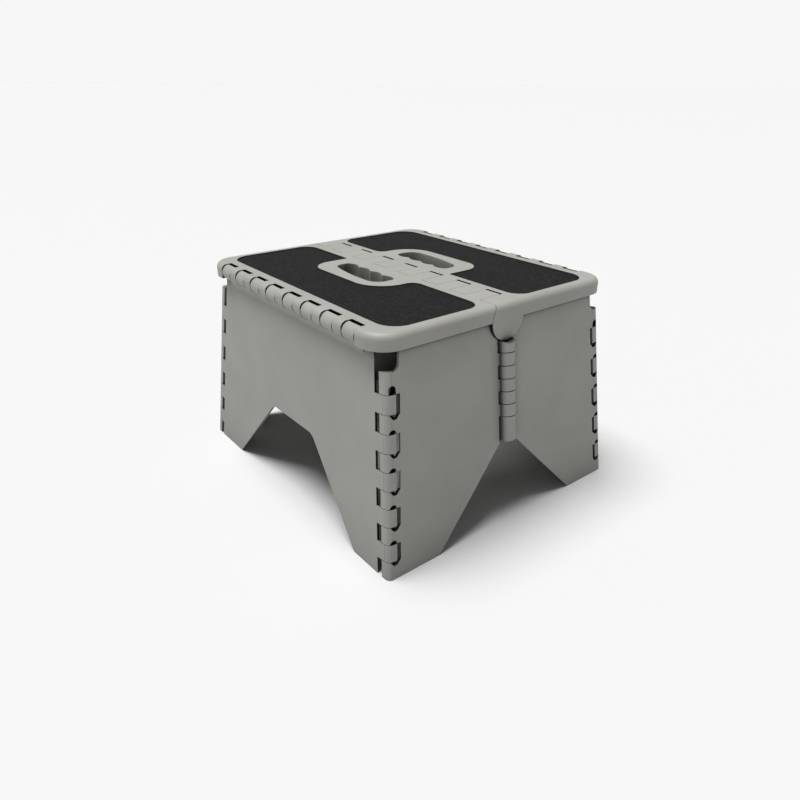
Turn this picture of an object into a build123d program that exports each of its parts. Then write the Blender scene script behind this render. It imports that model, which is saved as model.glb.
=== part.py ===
"""Folding entry step, moulded in grey plastic, standing open.

Two top halves meet over a centre hinge and fold upwards. Each half is hinged to
a side panel, and two leaves close each end, hinged to the side panels at the
corners and to each other at a middle column, so that they fold inwards.
The origin is on the floor under the middle. X runs across the centre hinge,
Y runs along it, and the front end is at -Y. Each piece is drawn in its
left-hand or front left-hand form, and mirrored or turned to its place.
"""

from build123d import *
from math import atan, cos, hypot, radians, sin, sqrt, tan
import os

os.makedirs("parts", exist_ok=True)

# Overall sizes
total_height = 223.5
foot_width = 310.6
foot_length = 361.0
side_panel_setback = 3.3
leaf_setback = 3.5
wall = 3.0
rib_thickness = 2.0
running_gap = 0.4
pin_fit = 0.08
pin_end_gap = 1.0

# Top halves
top_width = 296.0
top_length = 316.0
top_depth = 15.0
top_corner = 25.0
top_edge = 6.0
rim_wall = 4.0
top_skin = 4.0
top_rib_count_x = 3
top_rib_count_y = 8
top_rib_setback = 2.0
leaf_to_rim_gap = 1.2

# Centre hinge, with its discs cut flush by the tread
centre_radius = 20.0
centre_pitch = 41.3
left_finger_width = 20.0
left_finger_count = 7
centre_pin_radius = 4.0
centre_web = 6.0
centre_gap = 0.25
dash_width = 2.8
dash_depth = 9.0
dash_notch_depth = 7.0
lug_face = 5.0
lug_clearance = 1.0

# Hinge between a top half and its side panel
side_barrel_radius = 8.0
side_axis_drop = 8.5
side_knuckle_count = 8
side_knuckle_pitch = 33.2
side_knuckle_width = 17.4
side_knuckle_gap = 1.1
side_slot = 4.0
side_boss_radius = 4.6
side_pin_radius = 2.5
side_pin_overlap = 5.0
flare_round = 10.0

# Corner hinges between side panels and leaves
corner_inset = 5.5
corner_barrel_radius = 5.4
corner_pin_radius = 2.5
corner_knuckle_count = 5
corner_row_drop = 52.0
corner_foot_row = 17.5
corner_knuckle_height = 17.2
corner_pin_rise = 9.0
corner_tab_reach = 4.6
corner_tab_thickness = 4.0
side_window = 16.2
leaf_window = 14.1
notch_width = 13.3
notch_drop = 32.5
notch_round = 7.5
relief_near = 3.0
relief_far = 10.0
relief_depth = 6.5
relief_drop = 4.0
relief_height = 4.5
peep_height = 8.2

# Middle column between the two leaves of an end
column_radius = 8.5
column_inset = 0.5
column_drop = 33.0
column_row_count = 7
column_last_row = 2.06
column_bottom = 89.0
column_slot = 2.7
column_pin_radius = 2.5
column_play = 2.3
column_gap = 0.7
column_top_room = 3.0

# Leg cut-outs
side_arch_foot = 119.6
side_arch_top = 90.5
side_arch_slope = 48.3
side_arch_round = 14.0
side_arch_shift = 7.0
end_arch_foot = 94.4
end_arch_half_top = 9.0

# Hand holes and tread pads
hand_shift = 8.0
hand_inner = 31.0
hand_valley = 35.2
hand_outer = 58.0
hand_outer_near = 57.0
hand_outer_far = 51.0
hand_near_round = 14.0
hand_far_round = 10.0
hand_inner_round = 4.0
valley_round = 2.0
finger_pitch = 20.5
finger_count = 4
surround_length = 119.0
surround_outer = 72.0
surround_near_corner = 34.0
surround_far_corner = 22.0
hand_well_wall = 3.0
pad_inner = 23.5
pad_outer = 126.5
pad_half_length = 147.0
pad_outer_corner = 20.0
pad_inner_corner = 16.0
pad_near_join = 11.0
pad_far_join = 2.0
pad_recess = 1.0
pad_thickness = 1.6
pad_gap = 0.25

# Worked-out places
rim_bottom = total_height - top_depth
centre_axis_z = rim_bottom
side_axis_x = top_width / 2 - side_barrel_radius
side_axis_z = total_height - side_axis_drop
side_lean = (foot_width / 2 - side_axis_x + side_panel_setback) / side_axis_z
end_lean = (foot_length / 2 - top_length / 2 + leaf_setback) / rim_bottom
side_splay = atan(side_lean)
end_splay = atan(end_lean)
corner_first_top = total_height - corner_row_drop
corner_pin_top = corner_first_top + corner_pin_rise
corner_pitch = ((corner_first_top - corner_foot_row - corner_knuckle_height)
                / (corner_knuckle_count - 1))
notch_bottom = total_height - notch_drop
column_top = total_height - column_drop
column_row_height = (column_top - column_bottom) / (column_row_count - 1 + column_last_row)
leaf_top = rim_bottom - leaf_to_rim_gap
lug_room_bottom = centre_axis_z - centre_radius - lug_clearance
disc_half_chord = sqrt(centre_radius**2 - top_depth**2)
side_row_half = ((side_knuckle_count - 1) * side_knuckle_pitch + side_knuckle_width) / 2
side_room_radius = side_barrel_radius + running_gap
rim_swing = hypot(side_barrel_radius, side_axis_z - rim_bottom) + running_gap
edge_swing = hypot(side_barrel_radius - top_edge, side_axis_drop - top_edge) + top_edge + running_gap
corner_stretch = sqrt(1 + side_lean**2 + end_lean**2)
column_stretch = hypot(1, end_lean)
below_floor = 2 * wall


def side_face(z):
    """Distance of the side panels' outer face from the middle, at a height."""
    return foot_width / 2 - side_lean * z


def end_face(z):
    """Distance of the leaves' outer face from the middle, at a height."""
    return foot_length / 2 - end_lean * z


# Outer faces of the panels: local X runs along the panel, local Y up its slope
side_plane = Plane(
    origin=(-foot_width / 2, 0, 0),
    x_dir=(0, -1, 0),
    z_dir=(-cos(side_splay), 0, sin(side_splay)),
)
end_plane = Plane(
    origin=(0, -foot_length / 2, 0),
    x_dir=(1, 0, 0),
    z_dir=(0, -cos(end_splay), sin(end_splay)),
)

# Hinge axes that lean with the panels
corner_axis = Plane(
    origin=(-(foot_width / 2 - corner_inset), -(foot_length / 2 - corner_inset), 0),
    x_dir=(1, 0, -side_lean),
    z_dir=(side_lean, end_lean, 1),
)
column_axis = Plane(
    origin=(0, -(foot_length / 2 - column_inset), 0),
    x_dir=(1, 0, 0),
    z_dir=(0, end_lean, 1),
)


def side_point(y, z):
    """A point of the side face, in the coordinates of its plane."""
    return (-y, z / cos(side_splay))


def end_point(x, z):
    """A point of the end face, in the coordinates of its plane."""
    return (x, z / cos(end_splay))


def corner_bar(z0, z1, radius):
    """A round bar on the front left corner axis, between two heights."""
    with BuildPart() as bar:
        with BuildSketch(corner_axis.offset(z0 * corner_stretch)):
            Circle(radius)
        extrude(amount=(z1 - z0) * corner_stretch)
    return bar.part


def corner_knuckle(z0, z1, tab_size):
    """A knuckle on the front left corner axis, with a flat tab over the other panel's edge."""
    with BuildPart() as knuckle:
        with BuildSketch(corner_axis.offset((z0 + running_gap / 2) * corner_stretch)):
            with Locations((-corner_barrel_radius, -corner_barrel_radius)):
                Rectangle(*tab_size, align=(Align.MIN, Align.MIN))
            with Locations((-corner_barrel_radius, -corner_barrel_radius)):
                Rectangle(corner_barrel_radius, corner_barrel_radius,
                          align=(Align.MIN, Align.MIN), mode=Mode.SUBTRACT)
            Circle(corner_barrel_radius)
        extrude(amount=(z1 - z0 - running_gap) * corner_stretch)
    return knuckle.part


def column_bar(z0, z1, radius):
    """A round bar on the front column's axis, between two heights."""
    with BuildPart() as bar:
        with BuildSketch(column_axis.offset(z0 * column_stretch)):
            Circle(radius)
        extrude(amount=(z1 - z0) * column_stretch)
    return bar.part


def slab(profile, y0, y1):
    """A profile drawn in XZ, carried along Y between two places."""
    with BuildPart() as piece:
        with BuildSketch(Plane.XZ.offset(-y0)):
            add(profile)
        extrude(amount=y0 - y1)
    return piece.part


def disc_profile(x, z, radius):
    """A circle drawn in XZ."""
    with BuildSketch() as profile:
        with Locations((x, z)):
            Circle(radius)
    return profile.sketch


# Heights of the corner knuckles, from the top down
side_rows = []
for count in range(corner_knuckle_count):
    row_top = corner_first_top - count * corner_pitch
    side_rows.append((row_top - corner_knuckle_height, row_top))
leaf_rows = [(corner_first_top, notch_bottom)]
for upper_row, lower_row in zip(side_rows, side_rows[1:]):
    leaf_rows.append((lower_row[1], upper_row[0]))
leaf_rows.append((-below_floor, side_rows[-1][0]))

# Heights of the middle column's knuckles, from the top down
column_rows = []
for count in range(column_row_count):
    row_top = column_top - count * column_row_height
    column_rows.append((row_top - column_row_height, row_top))
column_rows[-1] = (column_bottom, column_rows[-1][1])
right_column_rows = column_rows[0::2]
left_column_rows = column_rows[1::2]

# Stretches of the centre hinge along Y: the left half's fingers and the right half's
left_fingers = []
for count in range(left_finger_count):
    middle = (count - (left_finger_count - 1) / 2) * centre_pitch
    left_fingers.append((middle - left_finger_width / 2, middle + left_finger_width / 2))
right_fingers = [(-top_length / 2, left_fingers[0][0])]
for nearer, further in zip(left_fingers, left_fingers[1:]):
    right_fingers.append((nearer[1], further[0]))
right_fingers.append((left_fingers[-1][1], top_length / 2))

# Stretches of the side hinge along Y: the side panel's knuckles and the top's fingers
side_knuckles = []
for count in range(side_knuckle_count):
    middle = (count - (side_knuckle_count - 1) / 2) * side_knuckle_pitch
    side_knuckles.append((middle - side_knuckle_width / 2, middle + side_knuckle_width / 2))
top_fingers = []
for nearer, further in zip(side_knuckles, side_knuckles[1:]):
    top_fingers.append((nearer[1], further[0]))


# Profiles of the centre hinge, drawn in XZ
with BuildSketch() as centre_disc:
    with Locations((0, centre_axis_z)):
        Circle(centre_radius)
    with Locations((0, rim_bottom + wall)):
        Rectangle(4 * centre_radius, 2 * centre_radius,
                  align=(Align.CENTER, Align.MIN), mode=Mode.SUBTRACT)

with BuildSketch() as centre_trim:
    with Locations((0, centre_axis_z)):
        Rectangle(3 * centre_radius, 4 * centre_radius, align=(Align.MIN, Align.CENTER))
        Circle(centre_radius, mode=Mode.SUBTRACT)

with BuildSketch() as centre_room:
    with Locations((0, centre_axis_z)):
        Rectangle(3 * centre_radius, 4 * centre_radius, align=(Align.MIN, Align.CENTER))
        Circle(centre_radius + running_gap)

# Each dash is a slot in the right half beside a disc, and a notch in that disc
with BuildSketch() as dash_slot:
    with Locations((-disc_half_chord, total_height)):
        Rectangle(dash_width + running_gap, dash_depth, align=(Align.MAX, Align.MAX))

with BuildSketch() as dash_notch:
    with Locations((disc_half_chord, total_height)):
        Rectangle(centre_radius, dash_notch_depth, align=(Align.MIN, Align.MAX))

# Profiles of the hinge between top and side panel, drawn in XZ
side_barrel = disc_profile(-side_axis_x, side_axis_z, side_barrel_radius)

with BuildSketch() as side_barrel_trim:
    with Locations((-side_axis_x, side_axis_z)):
        Rectangle(2 * side_barrel_radius, 2 * side_barrel_radius, align=(Align.MAX, Align.MAX))
        Circle(side_barrel_radius, mode=Mode.SUBTRACT)

# The panel's knuckle is a hook: its inner upper quarter is cut back to the pin's boss
with BuildSketch() as side_hook:
    with Locations((-side_axis_x, side_axis_z)):
        Circle(side_barrel_radius)
        Rectangle(side_barrel_radius, side_barrel_radius, align=(Align.MIN, Align.MIN),
                  mode=Mode.SUBTRACT)
        Circle(side_boss_radius)

with BuildSketch() as side_knuckle_room:
    with Locations((-side_axis_x, side_axis_z)):
        Circle(side_room_radius)
    with Locations((-side_axis_x + side_slot, side_axis_z)):
        Rectangle(3 * side_barrel_radius, 3 * side_barrel_radius,
                  align=(Align.MAX, Align.CENTER))

with BuildSketch() as side_finger_room:
    with Locations((-side_axis_x, side_axis_z)):
        Circle(edge_swing)
        Rectangle(2 * edge_swing, 2 * edge_swing, align=(Align.CENTER, Align.MIN))


# Above the rim's lower edge, nothing of the panel stands outside its barrels
with BuildSketch() as side_plate_trim:
    with Locations((-side_axis_x, rim_bottom - running_gap)):
        Rectangle(3 * side_barrel_radius, 3 * side_barrel_radius,
                  align=(Align.CENTER, Align.MIN))
    with Locations((-side_axis_x, side_axis_z)):
        Circle(side_barrel_radius, mode=Mode.SUBTRACT)


def side_section(down, out):
    """A point in XZ, down the side panel's face from the hinge's height and out from it."""
    return (
        -side_axis_x + side_panel_setback * cos(side_splay)**2
        - down * sin(side_splay) - out * cos(side_splay),
        side_axis_z - side_panel_setback * sin(side_splay) * cos(side_splay)
        - down * cos(side_splay) + out * sin(side_splay),
    )


# The side panel swells outwards to its top knuckles in a concave curve
flare_rise = flare_round - side_panel_setback * cos(side_splay)
flare_drop = sqrt((side_barrel_radius + flare_round)**2 - flare_rise**2)
with BuildSketch() as side_flare:
    with BuildLine():
        Polyline(
            (-side_axis_x, side_axis_z),
            side_section(flare_drop, flare_round),
            side_section(flare_drop, 0),
            side_section(flare_drop, -wall),
            close=True,
        )
    make_face()
    with Locations(side_section(flare_drop, flare_round)):
        Circle(flare_round, mode=Mode.SUBTRACT)


# Outlines round the hand hole are drawn for the left half, from the hole's middle.
# The right half has the same ones turned end for end.
def surround_outline(margin):
    """Outline of the plain surround of the hand hole."""
    half = surround_length / 2
    with BuildSketch() as outline:
        with Locations((-surround_outer / 2, 0)):
            Rectangle(surround_outer + 2 * margin, surround_length + 2 * margin)
        near = outline.vertices().group_by(Axis.X)[0].sort_by(Axis.Y)[0]
        fillet(near, surround_near_corner + margin)
        far = outline.vertices().sort_by_distance((-surround_outer, half, 0))[0]
        fillet(far, surround_far_corner + margin)
    return outline.sketch


def hand_outline(margin):
    """Outline of the hand hole with its finger grips, grown by a margin."""
    half = finger_count * finger_pitch / 2
    with BuildSketch() as outline:
        with BuildLine():
            for count in range(finger_count):
                start = half - count * finger_pitch
                ThreePointArc(
                    (-hand_valley, start),
                    (-hand_inner, start - finger_pitch / 2),
                    (-hand_valley, start - finger_pitch),
                )
            Line((-hand_valley, -half), (-hand_outer_near, -half))
            ThreePointArc((-hand_outer_near, -half), (-hand_outer, 0), (-hand_outer_far, half))
            Line((-hand_outer_far, half), (-hand_valley, half))
        make_face()
        ends = outline.vertices().group_by(Axis.Y)
        rounds = [
            (ends[0].sort_by(Axis.X)[0], hand_near_round),
            (ends[0].sort_by(Axis.X)[-1], hand_inner_round),
            (ends[-1].sort_by(Axis.X)[0], hand_far_round),
            (ends[-1].sort_by(Axis.X)[-1], hand_inner_round),
        ]
        rounds += [(group[0], valley_round) for group in ends[1:-1]]
        for corner, radius in rounds:
            fillet(outline.vertices().sort_by_distance(corner.center())[0], radius)
        if margin:
            offset(amount=margin)
    return outline.sketch


def in_half(outline, turned):
    """An outline moved to its place in the left half, turned end for end for the other."""
    with BuildSketch() as placed:
        with Locations((0, hand_shift)):
            add(mirror(outline, about=Plane.XZ, mode=Mode.PRIVATE) if turned else outline)
    return placed.sketch


def pad_outline(margin, turned):
    """Outline of the left tread pad, grown by a margin."""
    with BuildSketch() as outline:
        with Locations((-(pad_outer + pad_inner) / 2, 0)):
            Rectangle(pad_outer - pad_inner + 2 * margin, 2 * (pad_half_length + margin))
        fillet(outline.vertices().group_by(Axis.X)[0], pad_outer_corner + margin)
        fillet(outline.vertices().group_by(Axis.X)[-1], pad_inner_corner + margin)
        add(in_half(surround_outline(-margin), turned), mode=Mode.SUBTRACT)
        side = -1 if turned else 1
        for end, radius in ((-side, pad_near_join), (side, pad_far_join)):
            place = (-pad_inner, hand_shift + end * surround_length / 2, 0)
            fillet(outline.vertices().sort_by_distance(place)[0], radius)
    return outline.sketch


def top_hollow(turned):
    """Hollow of a top half, seen from below."""
    hollow_outer = side_axis_x - side_room_radius - rim_wall
    hollow_inner = centre_radius + centre_web
    with BuildSketch() as hollow:
        with Locations((-hollow_inner, 0)):
            Rectangle(hollow_outer - hollow_inner, top_length - 2 * rim_wall,
                      align=(Align.MAX, Align.CENTER))
        fillet(hollow.vertices().group_by(Axis.X)[0], top_corner - 2 * rim_wall)
        add(in_half(hand_outline(hand_well_wall), turned), mode=Mode.SUBTRACT)
    return hollow.sketch


def top_ribs(hollow):
    """Ribs that cross the hollow of a top half."""
    box = hollow.bounding_box()
    with BuildSketch() as ribs:
        with Locations(box.center()):
            with GridLocations(box.size.X / (top_rib_count_x + 1), 0, top_rib_count_x, 1):
                Rectangle(rib_thickness, box.size.Y)
            with GridLocations(0, box.size.Y / (top_rib_count_y + 1), 1, top_rib_count_y):
                Rectangle(box.size.X, rib_thickness)
        add(hollow, mode=Mode.INTERSECT)
    return ribs.sketch


def make_top(own_fingers, other_fingers, dash, turned):
    """A top half in its left-hand form: rimmed tray, ribs, hinge fingers and hand hole."""
    end_y = top_length / 2
    hollow = top_hollow(turned)
    with BuildPart() as top:
        with BuildSketch(Plane.XY.offset(rim_bottom)) as outline:
            with Locations((2 * centre_radius, 0)):
                Rectangle(top_width / 2 + 2 * centre_radius, top_length,
                          align=(Align.MAX, Align.CENTER))
            fillet(outline.vertices().group_by(Axis.X)[0], top_corner)
        extrude(amount=top_depth)
        upper_edges = top.faces().sort_by(Axis.Z)[-1].edges().sort_by(Axis.X)
        fillet(upper_edges[:-1], top_edge)

        # Underside
        with BuildSketch(Plane.XY.offset(rim_bottom)):
            add(hollow)
        extrude(amount=top_depth - top_skin, mode=Mode.SUBTRACT)
        with BuildSketch(Plane.XY.offset(rim_bottom + top_rib_setback)):
            add(top_ribs(hollow))
        extrude(amount=top_depth - top_skin - top_rib_setback)

        # Centre hinge
        trims = [slab(centre_trim.sketch, y0, y1) for y0, y1 in own_fingers]
        add(trims, mode=Mode.SUBTRACT)
        discs = []
        for y0, y1 in own_fingers:
            near = y0 + centre_gap / 2 if y0 > -end_y else -end_y
            far = y1 - centre_gap / 2 if y1 < end_y else end_y
            discs.append(slab(centre_disc.sketch, near, far))
        add(discs)
        cuts = [
            slab(centre_room.sketch, y0 - centre_gap / 2, y1 + centre_gap / 2)
            for y0, y1 in other_fingers
        ]
        cuts += [slab(dash, y0, y1) for y0, y1 in left_fingers]
        cuts.append(slab(disc_profile(0, centre_axis_z, centre_pin_radius + pin_fit),
                         -end_y + lug_face, end_y))
        add(cuts, mode=Mode.SUBTRACT)

        # Side hinge
        add([slab(side_barrel_trim.sketch, y0, y1) for y0, y1 in top_fingers],
            mode=Mode.SUBTRACT)
        add([slab(side_barrel, y0, y1) for y0, y1 in top_fingers])
        cuts = [
            slab(side_knuckle_room.sketch, y0 - side_knuckle_gap, y1 + side_knuckle_gap)
            for y0, y1 in side_knuckles
        ]
        cuts.append(slab(disc_profile(-side_axis_x, side_axis_z, side_pin_radius + pin_fit),
                         -side_row_half - side_pin_overlap - pin_end_gap, end_y))
        add(cuts, mode=Mode.SUBTRACT)

        # Pad recess and hand hole
        with BuildSketch(Plane.XY.offset(total_height)):
            add(pad_outline(pad_gap, turned))
        extrude(amount=-pad_recess - pad_thickness, mode=Mode.SUBTRACT)
        with BuildSketch(Plane.XY.offset(rim_bottom)):
            add(in_half(hand_outline(0), turned))
        extrude(amount=top_depth, mode=Mode.SUBTRACT)
    return top.part


def make_pad(turned):
    """A tread pad in its left-hand form, lying in its recess."""
    with BuildPart() as pad:
        with BuildSketch(Plane.XY.offset(total_height - pad_recess - pad_thickness)):
            add(pad_outline(0, turned))
        extrude(amount=pad_thickness)
    return pad.part


# Outline of the left side panel, in the coordinates of its plane
arch_half_top = side_arch_foot - side_arch_top / tan(radians(side_arch_slope))
arch_reach = below_floor / tan(radians(side_arch_slope))
shoulder_z = side_axis_z - rim_swing
with BuildSketch() as side_outline:
    with BuildLine():
        Polyline(
            side_point(-end_face(-below_floor) + corner_inset, -below_floor),
            side_point(-end_face(shoulder_z) + corner_inset, shoulder_z),
            side_point(-side_row_half, shoulder_z),
            side_point(-side_row_half, side_axis_z),
            side_point(side_row_half, side_axis_z),
            side_point(side_row_half, shoulder_z),
            side_point(end_face(shoulder_z) - corner_inset, shoulder_z),
            side_point(end_face(-below_floor) - corner_inset, -below_floor),
            close=True,
        )
    make_face()
    with BuildSketch(mode=Mode.PRIVATE) as side_arch:
        with BuildLine():
            Polyline(
                side_point(-side_arch_foot - arch_reach - side_arch_shift, -below_floor),
                side_point(-arch_half_top - side_arch_shift, side_arch_top),
                side_point(arch_half_top - side_arch_shift, side_arch_top),
                side_point(side_arch_foot + arch_reach - side_arch_shift, -below_floor),
                close=True,
            )
        make_face()
        fillet(side_arch.vertices().group_by(Axis.Y)[-1], side_arch_round)
    add(side_arch.sketch, mode=Mode.SUBTRACT)


def make_side_panel():
    """The left side panel: plate with leg arch, ribs, and knuckles on three edges."""
    window = hypot(side_window - corner_inset, corner_inset)
    with BuildPart() as panel:
        with BuildSketch(side_plane):
            add(side_outline.sketch)
        extrude(amount=-wall)

        # Top knuckles
        add(slab(side_flare.sketch, -side_row_half, side_row_half))
        add([slab(side_finger_room.sketch, y0, y1) for y0, y1 in top_fingers],
            mode=Mode.SUBTRACT)
        add(slab(side_plate_trim.sketch, -side_row_half, side_row_half), mode=Mode.SUBTRACT)
        add([slab(side_hook.sketch, y0, y1) for y0, y1 in side_knuckles])
        add(slab(disc_profile(-side_axis_x, side_axis_z, side_pin_radius + pin_fit),
                 -side_row_half, side_row_half), mode=Mode.SUBTRACT)

        # Corner knuckles, front and rear
        tab_size = (corner_barrel_radius + corner_tab_reach, corner_tab_thickness)
        knuckles = [corner_knuckle(z0, z1, tab_size) for z0, z1 in side_rows]
        add(knuckles)
        add([mirror(knuckle, about=Plane.XZ) for knuckle in knuckles])
        cuts = [
            corner_bar(z0 - running_gap / 2, z1 + running_gap / 2, window)
            for z0, z1 in leaf_rows[1:]
        ]
        cuts.append(corner_bar(corner_first_top - running_gap / 2, total_height, window))
        cuts.append(corner_bar(-below_floor, corner_pin_top, corner_pin_radius + pin_fit))
        add(cuts, mode=Mode.SUBTRACT)
        add([mirror(cut, about=Plane.XZ) for cut in cuts], mode=Mode.SUBTRACT)
        split(bisect_by=Plane.XY, keep=Keep.TOP)
    return panel.part


# Outline of the front left leaf, in the coordinates of its plane
notch_x = side_face(notch_bottom) - notch_width
arch_run = (end_arch_foot - end_arch_half_top) / column_bottom
with BuildSketch() as leaf_outline:
    with BuildLine():
        Polyline(
            end_point(-side_face(-below_floor) + corner_inset, -below_floor),
            end_point(-side_face(notch_bottom) + corner_inset, notch_bottom),
            end_point(-notch_x, notch_bottom),
            end_point(-notch_x + side_lean * (leaf_top - notch_bottom), leaf_top),
            end_point(-column_inset, leaf_top),
            end_point(-column_inset, column_bottom),
            end_point(-end_arch_half_top, column_bottom),
            end_point(-end_arch_foot - arch_run * below_floor, -below_floor),
            close=True,
        )
    make_face()
    notch_corner = leaf_outline.vertices().sort_by_distance((*end_point(-notch_x, notch_bottom), 0))[0]
    fillet(notch_corner, notch_round)


# Reliefs in the leaf beside the side panel's corner knuckles, the first one a small window
with BuildSketch() as corner_reliefs:
    for z0, z1 in side_rows:
        edge = -side_face(z0)
        with BuildLine():
            Polyline(
                end_point(edge + relief_near, z0 + running_gap),
                end_point(edge + (relief_near + relief_far) / 2, z0 - relief_drop),
                end_point(edge + relief_far, z0 - relief_drop),
                end_point(edge + leaf_window, z0 + running_gap),
                close=True,
            )
        make_face()
    relief_radius = (relief_far - relief_near) / 2
    for z0, z1 in side_rows:
        height = peep_height if z1 == corner_first_top else relief_height
        middle = -side_face(z1) + (relief_near + relief_far) / 2
        with Locations(end_point(middle, z1 - running_gap)):
            Rectangle(2 * relief_radius, height - relief_radius + running_gap,
                      align=(Align.CENTER, Align.MIN))
        with Locations(end_point(middle, z1 + height - relief_radius)):
            Circle(relief_radius)


def make_leaf(own_rows, other_rows, pin_room):
    """An end leaf in its front left form: plate, corner knuckles and column knuckles."""
    window = hypot(leaf_window - corner_inset, corner_inset)
    with BuildPart() as leaf:
        with BuildSketch(end_plane):
            add(leaf_outline.sketch)
        extrude(amount=-wall)

        # Corner knuckles
        tab_size = (corner_tab_thickness, corner_barrel_radius + corner_tab_reach)
        add([corner_knuckle(z0, z1, tab_size) for z0, z1 in leaf_rows])
        cuts = [
            corner_bar(z0 - running_gap / 2, z1 + running_gap / 2, window)
            for z0, z1 in side_rows
        ]
        cuts.append(corner_bar(-below_floor, corner_pin_top, corner_pin_radius + pin_fit))
        add(cuts, mode=Mode.SUBTRACT)
        with BuildSketch(end_plane):
            add(corner_reliefs.sketch)
        extrude(amount=-relief_depth, mode=Mode.SUBTRACT)

        # Column knuckles
        add([
            column_bar(z0 + column_gap / 2, z1 - column_gap / 2, column_radius)
            for z0, z1 in own_rows
        ])
        cuts = []
        for z0, z1 in other_rows:
            room_above = column_top_room if z1 == column_top else column_gap / 2
            cuts.append(column_bar(z0 - column_gap / 2, z1 + room_above,
                                   column_radius + column_slot))
        cuts.append(column_bar(column_bottom - wall, column_top + wall,
                               column_pin_radius + pin_room))

        # Room for the lug of the centre hinge
        cuts.append(slab(disc_profile(0, centre_axis_z, centre_radius + lug_clearance),
                         -foot_length / 2, -top_length / 4))
        add(cuts, mode=Mode.SUBTRACT)
        split(bisect_by=Plane.XY, keep=Keep.TOP)
    return leaf.part


# Top halves and pads
with BuildPart() as top_left:
    add(make_top(left_fingers, right_fingers, dash_notch.sketch, False))
with BuildPart() as top_right:
    add(make_top(right_fingers, left_fingers, dash_slot.sketch, True))
    mirror(about=Plane.YZ, mode=Mode.REPLACE)
with BuildPart() as tread_pad_left:
    add(make_pad(False))
with BuildPart() as tread_pad_right:
    add(make_pad(True))
    mirror(about=Plane.YZ, mode=Mode.REPLACE)

# Side panels: both come from one mould, so the right one is turned about
with BuildPart() as side_panel_left:
    add(make_side_panel())
with BuildPart() as side_panel_right:
    add(side_panel_left.part.rotate(Axis.Z, 180))

# End leaves
with BuildPart() as front_leaf_left:
    add(make_leaf(left_column_rows, right_column_rows, column_play))
with BuildPart() as front_leaf_right:
    add(make_leaf(right_column_rows, left_column_rows, pin_fit))
    mirror(about=Plane.YZ, mode=Mode.REPLACE)
with BuildPart() as rear_leaf_left:
    add(front_leaf_left.part)
    mirror(about=Plane.XZ, mode=Mode.REPLACE)
with BuildPart() as rear_leaf_right:
    add(front_leaf_right.part)
    mirror(about=Plane.XZ, mode=Mode.REPLACE)

# Hinge pins
with BuildPart() as centre_pin:
    add(slab(disc_profile(0, centre_axis_z, centre_pin_radius),
             -top_length / 2 + lug_face + pin_end_gap, top_length / 2 - pin_end_gap))
with BuildPart() as top_pin_left:
    add(slab(disc_profile(-side_axis_x, side_axis_z, side_pin_radius),
             -side_row_half - side_pin_overlap, side_row_half + side_pin_overlap))
with BuildPart() as top_pin_right:
    add(top_pin_left.part)
    mirror(about=Plane.YZ, mode=Mode.REPLACE)
with BuildPart() as corner_pin_front_left:
    add(corner_bar(pin_end_gap, corner_pin_top - pin_end_gap, corner_pin_radius))
with BuildPart() as corner_pin_front_right:
    add(corner_pin_front_left.part)
    mirror(about=Plane.YZ, mode=Mode.REPLACE)
with BuildPart() as corner_pin_rear_left:
    add(corner_pin_front_left.part)
    mirror(about=Plane.XZ, mode=Mode.REPLACE)
with BuildPart() as corner_pin_rear_right:
    add(corner_pin_rear_left.part)
    mirror(about=Plane.YZ, mode=Mode.REPLACE)
with BuildPart() as leaf_pin_front:
    add(column_bar(column_bottom + pin_end_gap, min(column_top, lug_room_bottom) - pin_end_gap,
                   column_pin_radius))
with BuildPart() as leaf_pin_rear:
    add(leaf_pin_front.part)
    mirror(about=Plane.XZ, mode=Mode.REPLACE)

pieces = {
    "top_left": top_left,
    "top_right": top_right,
    "tread_pad_left": tread_pad_left,
    "tread_pad_right": tread_pad_right,
    "side_panel_left": side_panel_left,
    "side_panel_right": side_panel_right,
    "front_leaf_left": front_leaf_left,
    "front_leaf_right": front_leaf_right,
    "rear_leaf_left": rear_leaf_left,
    "rear_leaf_right": rear_leaf_right,
    "centre_pin": centre_pin,
    "top_pin_left": top_pin_left,
    "top_pin_right": top_pin_right,
    "corner_pin_front_left": corner_pin_front_left,
    "corner_pin_front_right": corner_pin_front_right,
    "corner_pin_rear_left": corner_pin_rear_left,
    "corner_pin_rear_right": corner_pin_rear_right,
    "leaf_pin_front": leaf_pin_front,
    "leaf_pin_rear": leaf_pin_rear,
}
for label, piece in pieces.items():
    piece.part.label = label
    export_step(piece.part, f"parts/{label}.step")
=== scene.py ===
"""Looks of the folding entry step: grey moulded plastic, gritty tread pads, studio light."""
from math import radians

import bmesh
import bpy
from mathutils import Matrix, Vector

# Camera, as the photograph was taken
CAMERA_PLACE = (-0.4213, -0.5309, 0.4004)
CAMERA_YAW = -38.43
CAMERA_PITCH = -26.35
CAMERA_ROLL = 0.27
CAMERA_LENS = 28.78
CAMERA_SENSOR = 36.0
CAMERA_NEAREST = 0.01

# Colours, as linear values
SHELL_GREY = (0.287, 0.284, 0.262)
PAD_BLACK = (0.0085, 0.0085, 0.0087)
# Hinge rods: a darker grey, partly the rods' own plastic and partly painted shade, so they read
# dark where they show in the reliefs
PIN_GREY_AND_RELIEF_SHADE = (0.16, 0.16, 0.15)
FLOOR_WHITE = (0.565, 0.565, 0.565)

# Moulded plastic: flow clouds, spark grain and worn spots, sizes in metres
CLOUD_SIZE = 0.05
CLOUD_DETAIL = 3.0
CLOUD_DARKEST = 0.94
CLOUD_LIGHTEST = 1.04
GRAIN_SIZE = 0.0007
GRAIN_DETAIL = 1.0
GRAIN_DARKEST = 0.93
GRAIN_STRENGTH = 0.22
GRAIN_DEPTH = 0.0002
WORN_SPOT_SIZE = 0.018
WORN_SPOT_DETAIL = 4.0
WORN_SPOT_SPREAD = 0.07
EDGE_RADIUS = 0.0005
EDGE_SAMPLES = 4
SHELL_ROUGHNESS = 0.55
PIN_ROUGHNESS = 0.45
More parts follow.
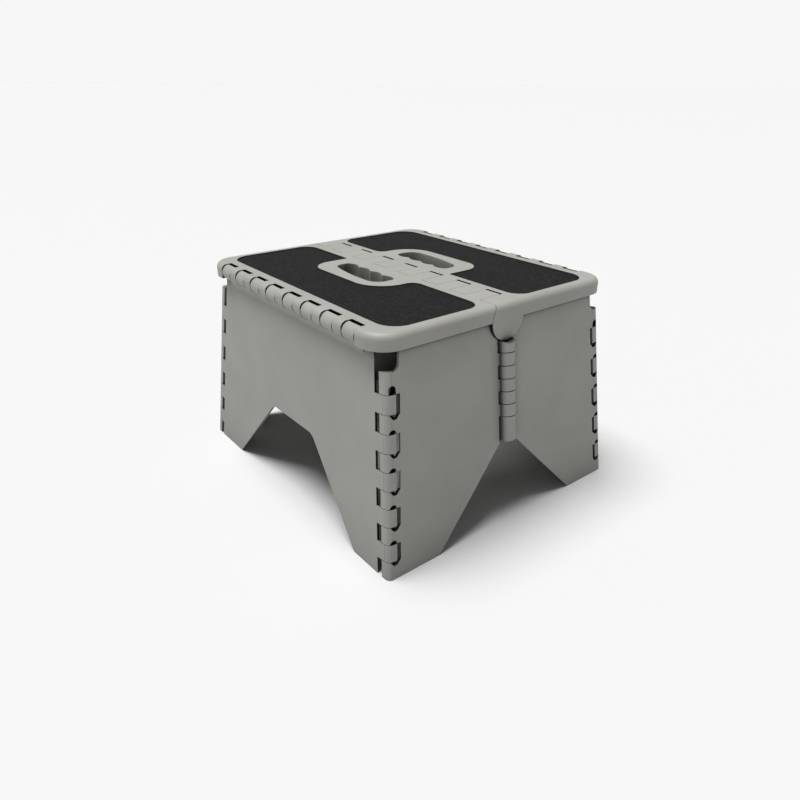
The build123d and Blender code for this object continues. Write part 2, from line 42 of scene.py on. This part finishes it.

# Painted shade: darkening painted into the colour in the hinge gaps and seams, and less of it
# inside the hollow body
PAINTED_SHADE_SAMPLES = 8
GAP_SHADE_REACH = 0.014
GAP_SHADE_DARKEST = 0.06
GAP_SHADE_DEEPEST_AT = 0.58
GAP_SHADE_GONE_AT = 0.96
HOLLOW_SHADE_REACH = 0.12
HOLLOW_SHADE_DARKEST = 0.12
HOLLOW_SHADE_DEEPEST_AT = 0.3
HOLLOW_SHADE_GONE_AT = 0.62

# Below the first height the floor is what closes a face in, so no painted gap shade is put there
UNSHADED_FEET_HEIGHT = 0.013
GAP_SHADE_FULL_HEIGHT = 0.017

# Painted shade that darkens the panels towards the feet
FEET_SHADE_HEIGHT = 0.17
FEET_SHADE_DARKEST = 0.88

# Anti-slip pad: grit bound in patches, sizes in metres
GRIT_SIZE = 0.0011
GRIT_CORE = 0.05
GRIT_RIM = 0.6
GRIT_LIGHTEST = 1.9
GRIT_DARKEST = 0.5
GRIT_STRENGTH = 0.9
GRIT_DEPTH = 0.0004
PATCH_SIZE = 0.0035
PATCH_DETAIL = 3.0
PATCH_DARKEST = 0.45
PATCH_LIGHTEST = 1.75
PAD_ROUGHNESS = 0.85
PAD_GLOSS = 0.15

# The floor reaches to the horizon, where the room is as bright as the floor
FLOOR_RADIUS = 150.0
FLOOR_SIDES = 64
FLOOR_ROUGHNESS = 0.9
FLOOR_GLOSS = 0.2
HORIZON_GLOW = 0.924
OVERHEAD_GLOW = 0.16
GLOW_START = 0.13
GLOW_END = 0.32

# Broad soft key light, high up and a little to the left and behind
KEY_FROM = (-0.17, 0.16, 1.0)
KEY_SPREAD = 34.0
KEY_STRENGTH = 4.7

# The colour sockets of Blender's Mix node, which have the same names as its number sockets
MIX_FIRST_COLOUR = 6
MIX_SECOND_COLOUR = 7
MIX_COLOUR_RESULT = 2


def new_material(name):
    """A bare material with its node tree and its Principled shader."""
    material = bpy.data.materials.new(name)
    material.use_nodes = True
    tree = material.node_tree
    return material, tree, tree.nodes["Principled BSDF"]


def object_place(tree):
    """The place of a point on its piece, as a socket."""
    return tree.nodes.new("ShaderNodeTexCoord").outputs["Object"]


def upward_part(tree, vector):
    """The Z of a place or a direction."""
    parts = tree.nodes.new("ShaderNodeSeparateXYZ")
    tree.links.new(vector, parts.inputs["Vector"])
    return parts.outputs["Z"]


def noise(tree, place, size, detail):
    """A noise whose lumps are about the given size, in metres."""
    lumps = tree.nodes.new("ShaderNodeTexNoise")
    lumps.inputs["Scale"].default_value = 1.0 / size
    lumps.inputs["Detail"].default_value = detail
    tree.links.new(place, lumps.inputs["Vector"])
    return lumps.outputs["Fac"]


def tones(tree, factor, low, high, start=0.3, end=0.7):
    """A ramp from one colour to another."""
    ramp = tree.nodes.new("ShaderNodeValToRGB")
    first, last = ramp.color_ramp.elements
    first.position = start
    first.color = (*low, 1.0)
    last.position = end
    last.color = (*high, 1.0)
    tree.links.new(factor, ramp.inputs["Fac"])
    return ramp.outputs["Color"]


def shade(colour, factor):
    return tuple(channel * factor for channel in colour)


def grey(value):
    return (value, value, value)


def tinted(tree, first, second):
    """The product of two colours."""
    mix = tree.nodes.new("ShaderNodeMix")
    mix.data_type = "RGBA"
    mix.blend_type = "MULTIPLY"
    mix.inputs["Factor"].default_value = 1.0
    tree.links.new(first, mix.inputs[MIX_FIRST_COLOUR])
    tree.links.new(second, mix.inputs[MIX_SECOND_COLOUR])
    return mix.outputs[MIX_COLOUR_RESULT]


def rescaled(tree, source, start, end, low, high, curve="LINEAR"):
    """A number that goes from low to high as its source goes from start to end."""
    scale = tree.nodes.new("ShaderNodeMapRange")
    scale.interpolation_type = curve
    scale.inputs["From Min"].default_value = start
    scale.inputs["From Max"].default_value = end
    scale.inputs["To Min"].default_value = low
    scale.inputs["To Max"].default_value = high
    tree.links.new(source, scale.inputs["Value"])
    return scale.outputs["Result"]


def combined(tree, operation, first, second):
    """Two numbers made one."""
    result = tree.nodes.new("ShaderNodeMath")
    result.operation = operation
    tree.links.new(first, result.inputs[0])
    tree.links.new(second, result.inputs[1])
    return result.outputs["Value"]


def closed_in(tree, reach, start, end, darkest):
    """A painted shade that is darkest where the surface is closed in within its reach."""
    openness = tree.nodes.new("ShaderNodeAmbientOcclusion")
    openness.samples = PAINTED_SHADE_SAMPLES
    openness.inputs["Distance"].default_value = reach
    return rescaled(tree, openness.outputs["AO"], start, end, darkest, 1.0)


def with_painted_shade(tree, place, base):
    """A base colour with painted shade in gaps and in the hollow, and a little towards the feet."""
    height = upward_part(tree, place)
    # Painted shade in the hinge gaps and seams, from ambient occlusion
    gaps = closed_in(tree, GAP_SHADE_REACH, GAP_SHADE_DEEPEST_AT, GAP_SHADE_GONE_AT, GAP_SHADE_DARKEST)
    # No painted gap shade on the feet, where the floor closes faces in
    unshaded_feet = rescaled(tree, height, UNSHADED_FEET_HEIGHT, GAP_SHADE_FULL_HEIGHT, 1.0, 0.0)
    gaps = combined(tree, "MAXIMUM", gaps, unshaded_feet)
    # Painted shade inside the hollow body, from wide-reach ambient occlusion
    hollow = closed_in(tree, HOLLOW_SHADE_REACH, HOLLOW_SHADE_DEEPEST_AT, HOLLOW_SHADE_GONE_AT, HOLLOW_SHADE_DARKEST)
    gap_and_hollow_shade = combined(tree, "MULTIPLY", gaps, hollow)
    # Painted shade, darker towards the feet
    feet_shade = rescaled(tree, height, 0.0, FEET_SHADE_HEIGHT, FEET_SHADE_DARKEST, 1.0)
    all_painted_shade = combined(tree, "MULTIPLY", gap_and_hollow_shade, feet_shade)
    return tinted(tree, base, all_painted_shade)


def moulded_plastic(name, colour, roughness):
    """Injection-moulded plastic: fine spark grain, faint flow clouds, softened edges, and painted
    shade in gaps, in the hollow and towards the feet.
    """
    material, tree, shader = new_material(name)
    place = object_place(tree)
    clouds = noise(tree, place, CLOUD_SIZE, CLOUD_DETAIL)
    clouded = tones(tree, clouds, shade(colour, CLOUD_DARKEST), shade(colour, CLOUD_LIGHTEST))
    specks = noise(tree, place, GRAIN_SIZE, GRAIN_DETAIL)
    speckled = tones(tree, specks, grey(GRAIN_DARKEST), grey(1.0))
    base = tinted(tree, clouded, speckled)
    # The base colour carries painted shade in the gaps, in the hollow and towards the feet
    tree.links.new(with_painted_shade(tree, place, base), shader.inputs["Base Color"])

    worn_spots = noise(tree, place, WORN_SPOT_SIZE, WORN_SPOT_DETAIL)
    dullness = rescaled(tree, worn_spots, 0.0, 1.0, roughness - WORN_SPOT_SPREAD,
                        roughness + WORN_SPOT_SPREAD)
    tree.links.new(dullness, shader.inputs["Roughness"])

    edges = tree.nodes.new("ShaderNodeBevel")
    edges.samples = EDGE_SAMPLES
    edges.inputs["Radius"].default_value = EDGE_RADIUS
    grain = tree.nodes.new("ShaderNodeBump")
    grain.inputs["Strength"].default_value = GRAIN_STRENGTH
    grain.inputs["Distance"].default_value = GRAIN_DEPTH
    tree.links.new(specks, grain.inputs["Height"])
    tree.links.new(edges.outputs["Normal"], grain.inputs["Normal"])
    tree.links.new(grain.outputs["Normal"], shader.inputs["Normal"])
    return material


def gritty_pad():
    """Black anti-slip sheet: bound grit with a few grains that catch the light."""
    material, tree, shader = new_material("gritty black pad")
    place = object_place(tree)
    grit = tree.nodes.new("ShaderNodeTexVoronoi")
    grit.inputs["Scale"].default_value = 1.0 / GRIT_SIZE
    tree.links.new(place, grit.inputs["Vector"])
    from_grain = grit.outputs["Distance"]
    patches = noise(tree, place, PATCH_SIZE, PATCH_DETAIL)
    ground = tones(tree, patches, shade(PAD_BLACK, PATCH_DARKEST), shade(PAD_BLACK, PATCH_LIGHTEST))
    grains = tones(tree, from_grain, grey(GRIT_LIGHTEST), grey(GRIT_DARKEST), GRIT_CORE, GRIT_RIM)
    tree.links.new(tinted(tree, ground, grains), shader.inputs["Base Color"])
    shader.inputs["Roughness"].default_value = PAD_ROUGHNESS
    shader.inputs["Specular IOR Level"].default_value = PAD_GLOSS

    bumps = tree.nodes.new("ShaderNodeBump")
    bumps.invert = True
    bumps.inputs["Strength"].default_value = GRIT_STRENGTH
    bumps.inputs["Distance"].default_value = GRIT_DEPTH
    tree.links.new(from_grain, bumps.inputs["Height"])
    tree.links.new(bumps.outputs["Normal"], shader.inputs["Normal"])
    return material


def pale_floor():
    """Matt white studio floor."""
    material, tree, shader = new_material("pale floor")
    shader.inputs["Base Color"].default_value = (*FLOOR_WHITE, 1.0)
    shader.inputs["Roughness"].default_value = FLOOR_ROUGHNESS
    shader.inputs["Specular IOR Level"].default_value = FLOOR_GLOSS
    return material


def dress(piece, material):
    piece.data.materials.clear()
    piece.data.materials.append(material)


def dress_nodes(nodes):
    """Gives each CAD node its finish."""
    shell = moulded_plastic("moulded grey plastic", SHELL_GREY, SHELL_ROUGHNESS)
    pad = gritty_pad()
    pin = moulded_plastic("hinge rod plastic", PIN_GREY_AND_RELIEF_SHADE, PIN_ROUGHNESS)
    for name, piece in nodes.items():
        if "pin" in name:
            dress(piece, pin)
        elif "pad" in name:
            dress(piece, pad)
        else:
            dress(piece, shell)


def add_floor():
    """Pale floor out to the horizon."""
    outline = bmesh.new()
    bmesh.ops.create_circle(outline, cap_ends=True, segments=FLOOR_SIDES, radius=FLOOR_RADIUS)
    mesh = bpy.data.meshes.new("floor")
    outline.to_mesh(mesh)
    outline.free()
    floor = bpy.data.objects.new("floor", mesh)
    bpy.context.collection.objects.link(floor)
    dress(floor, pale_floor())


def add_room():
    """Dim studio air overhead, as bright as the floor at the horizon, on a pale backdrop."""
    world = bpy.data.worlds.new("studio")
    world.use_nodes = True
    tree = world.node_tree
    glow = tree.nodes["Background"]
    glow.inputs["Color"].default_value = (1.0, 1.0, 1.0, 1.0)
    direction = tree.nodes.new("ShaderNodeTexCoord").outputs["Generated"]
    upwards = upward_part(tree, direction)
    air = rescaled(tree, upwards, GLOW_START, GLOW_END, HORIZON_GLOW, OVERHEAD_GLOW, "SMOOTHSTEP")
    seen = tree.nodes.new("ShaderNodeLightPath").outputs["Is Camera Ray"]
    backdrop = rescaled(tree, seen, 0.0, 1.0, 0.0, HORIZON_GLOW)
    tree.links.new(combined(tree, "MAXIMUM", air, backdrop), glow.inputs["Strength"])
    bpy.context.scene.world = world
    bpy.context.scene.view_settings.view_transform = "Standard"


def add_key():
    """One broad soft light from above."""
    light = bpy.data.lights.new("key", "SUN")
    light.energy = KEY_STRENGTH
    light.angle = radians(KEY_SPREAD)
    key = bpy.data.objects.new("key", light)
    key.rotation_euler = Vector(KEY_FROM).to_track_quat("Z", "Y").to_euler()
    bpy.context.collection.objects.link(key)


def add_camera():
    """The photograph's camera."""
    lens = bpy.data.cameras.new("camera")
    lens.sensor_width = CAMERA_SENSOR
    lens.lens = CAMERA_LENS
    lens.clip_start = CAMERA_NEAREST
    camera = bpy.data.objects.new("camera", lens)
    turn = Matrix.Rotation(radians(CAMERA_YAW), 4, "Z")
    tilt = Matrix.Rotation(radians(90.0 + CAMERA_PITCH), 4, "X")
    roll = Matrix.Rotation(radians(CAMERA_ROLL), 4, "Z")
    camera.matrix_world = Matrix.Translation(CAMERA_PLACE) @ turn @ tilt @ roll
    bpy.context.collection.objects.link(camera)
    bpy.context.scene.camera = camera


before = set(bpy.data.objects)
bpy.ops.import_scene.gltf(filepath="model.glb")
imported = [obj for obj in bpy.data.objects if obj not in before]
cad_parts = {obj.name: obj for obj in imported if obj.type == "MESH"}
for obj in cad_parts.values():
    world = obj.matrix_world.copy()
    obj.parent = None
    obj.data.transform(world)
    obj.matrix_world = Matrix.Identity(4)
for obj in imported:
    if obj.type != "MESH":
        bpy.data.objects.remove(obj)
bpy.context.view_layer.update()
dress_nodes(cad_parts)
add_floor()
add_room()
add_key()
add_camera()
